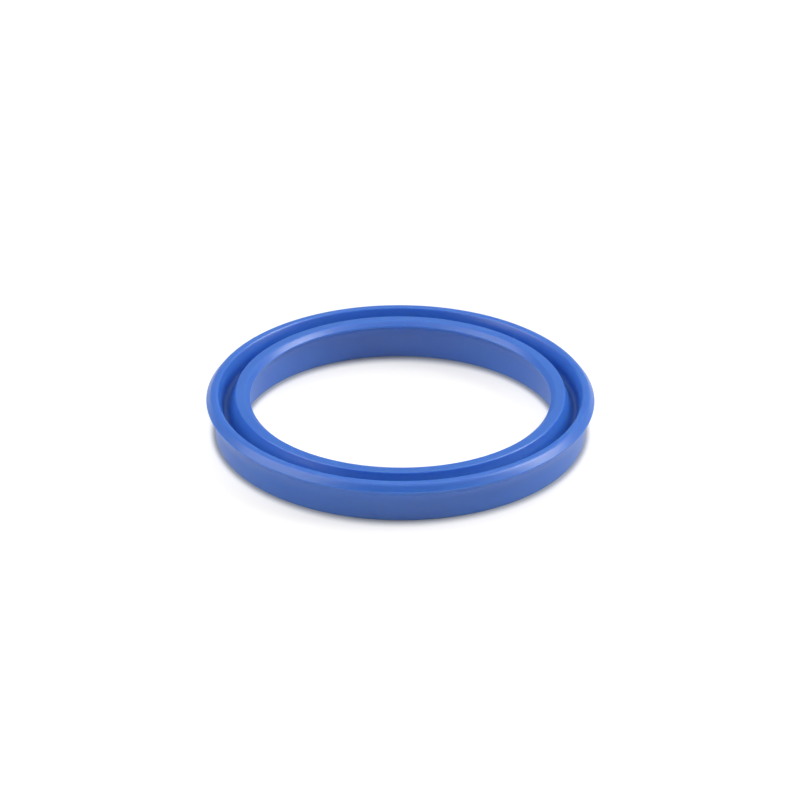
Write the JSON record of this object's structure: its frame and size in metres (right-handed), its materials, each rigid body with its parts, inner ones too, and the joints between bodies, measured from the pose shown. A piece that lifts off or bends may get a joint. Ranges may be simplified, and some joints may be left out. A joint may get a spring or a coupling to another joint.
{
  "type": "u cup seal",
  "caption": "Ring-shaped U cup hydraulic rod seal with a square heel, two flaring lips with bevelled edges and a rounded vee groove between them.",
  "frame": {"origin": "centre of the heel face, on the ring's axis", "axes": "+Z along the ring's axis from the heel to the lips; +X and +Y are any two radii"},
  "size_m": [0.0622, 0.0622, 0.007],
  "materials": {
    "polyurethane": "smooth semi-gloss moulded polyurethane, mid blue"
  },
  "bodies": {
    "root": {"u_cup_seal": "polyurethane"}
  },
  "joints": []
}
